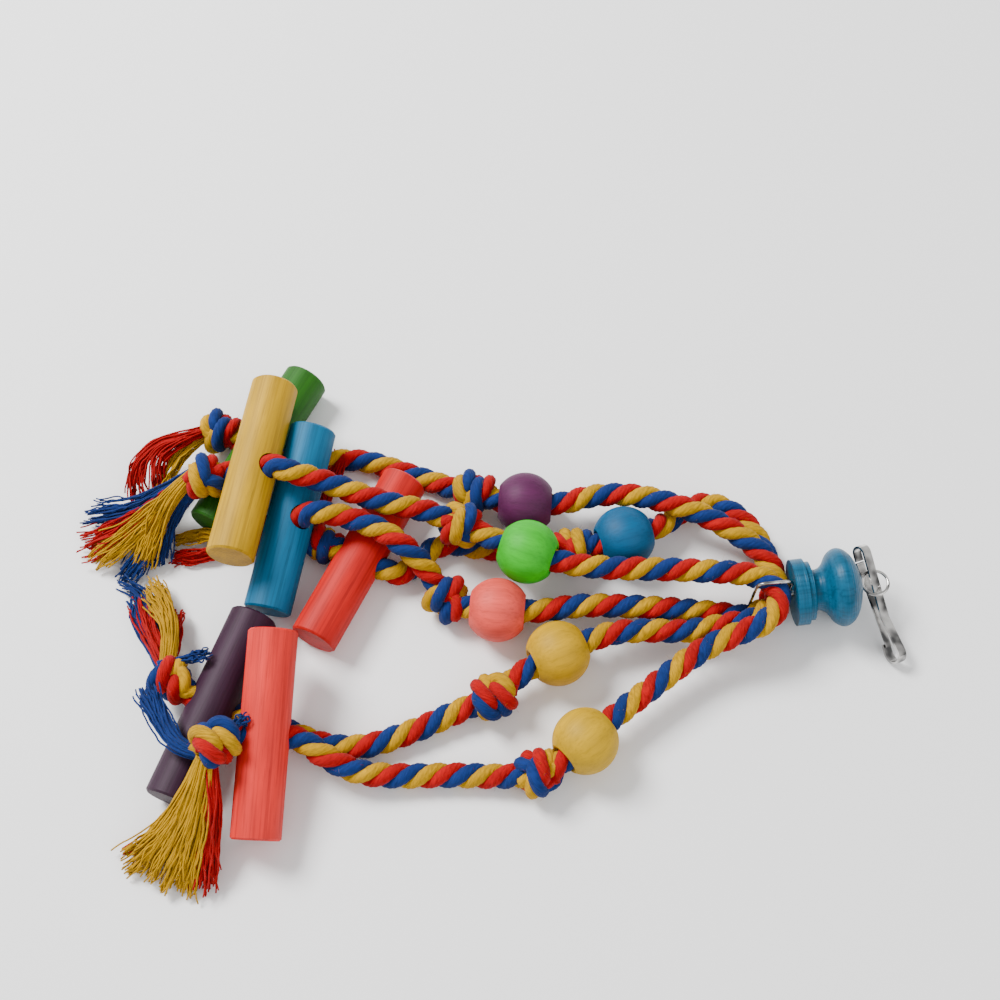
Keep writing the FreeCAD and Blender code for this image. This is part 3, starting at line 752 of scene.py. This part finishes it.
# ---- Stage --------------------------------------------------------------------------------
def make_stage():
    """The white floor under the toy."""
    bpy.ops.mesh.primitive_plane_add(size=FLOOR_SIZE, location=(0, 0, 0))
    floor = bpy.context.object
    floor.name = "floor"
    floor.data.materials.append(plain("floor_white", FLOOR_WHITE, 0.75))


def area_light(name, place, size, power):
    """A square light that faces the toy."""
    data = bpy.data.lights.new(name, "AREA")
    data.shape = "SQUARE"
    data.size = size
    data.energy = power
    light = bpy.data.objects.new(name, data)
    light.location = place
    light.rotation_euler = (-Vector(place)).to_track_quat("-Z", "Y").to_euler()
    bpy.context.scene.collection.objects.link(light)


def make_lights():
    """A key light behind on the left, a weak fill in front on the right, and an even sky."""
    area_light("key", *KEY_LIGHT)
    area_light("fill", *FILL_LIGHT)
    world = bpy.data.worlds.new("studio")
    world.use_nodes = True
    world.node_tree.nodes["Background"].inputs[0].default_value = (1.0, 1.0, 1.0, 1.0)
    world.node_tree.nodes["Background"].inputs[1].default_value = SKY_LEVEL
    bpy.context.scene.world = world


def make_camera():
    """The camera above and in front of the toy."""
    data = bpy.data.cameras.new("camera")
    data.lens = CAMERA_LENS
    data.sensor_width = CAMERA_SENSOR
    data.clip_start = 0.01
    camera = bpy.data.objects.new("camera", data)
    towards = -heading(-90.0, CAMERA_RISE)
    camera.location = (TARGET - towards * CAMERA_DISTANCE) * MM
    camera.rotation_euler = towards.to_track_quat("-Z", "Y").to_euler()
    bpy.context.scene.collection.objects.link(camera)
    bpy.context.scene.camera = camera


def paint(frame, node, material):
    """Give one rigid piece its material."""
    frame["nodes"][node].material_slots[0].material = material


# ---- The scene ----------------------------------------------------------------------------
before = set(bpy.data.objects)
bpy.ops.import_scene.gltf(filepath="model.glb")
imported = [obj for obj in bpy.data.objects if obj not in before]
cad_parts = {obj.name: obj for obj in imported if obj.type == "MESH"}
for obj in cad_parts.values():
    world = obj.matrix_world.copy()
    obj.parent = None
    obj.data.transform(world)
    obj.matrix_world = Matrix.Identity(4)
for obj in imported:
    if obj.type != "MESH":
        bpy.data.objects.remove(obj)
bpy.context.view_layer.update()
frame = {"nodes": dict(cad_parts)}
make_camera()

threads = [cotton("cotton_" + colour, COTTON[colour]) for colour in COLOURS]
seed = 1
for name in UPPER:
    make_rope("twisted_" + name, "rope_" + name, upper_route(name), seed, threads)
    seed += 1
for name in LOWER:
    make_rope("twisted_to_" + name, "rope_to_" + name + "_dowel", lower_route(name), seed,
              threads)
    seed += 1
for name in KNOTS:
    make_knot(name, seed, threads)
    seed += 1
for name in TASSELS:
    make_tassel(name, seed, threads)
    seed += 1

for name, (centre, azimuth) in BEADS.items():
    node = "bead_" + name
    along = heading(azimuth)
    paint(frame, node, dyed_wood("dyed_" + node, DYES[node], centre, along, BEAD_FIGURE))
for name, (centre, azimuth, rise, _) in DOWELS.items():
    node = "dowel_" + name
    along = heading(azimuth, rise)
    paint(frame, node, dyed_wood("dyed_" + node, DYES[node], centre, along, DOWEL_FIGURE))
paint(frame, "knob", turned_wood("turned_knob", DYES["knob"]))
metal = nickel()
for node in ("eye_wire", "hook_body", "hook_gate"):
    paint(frame, node, metal)

make_stage()
make_lights()
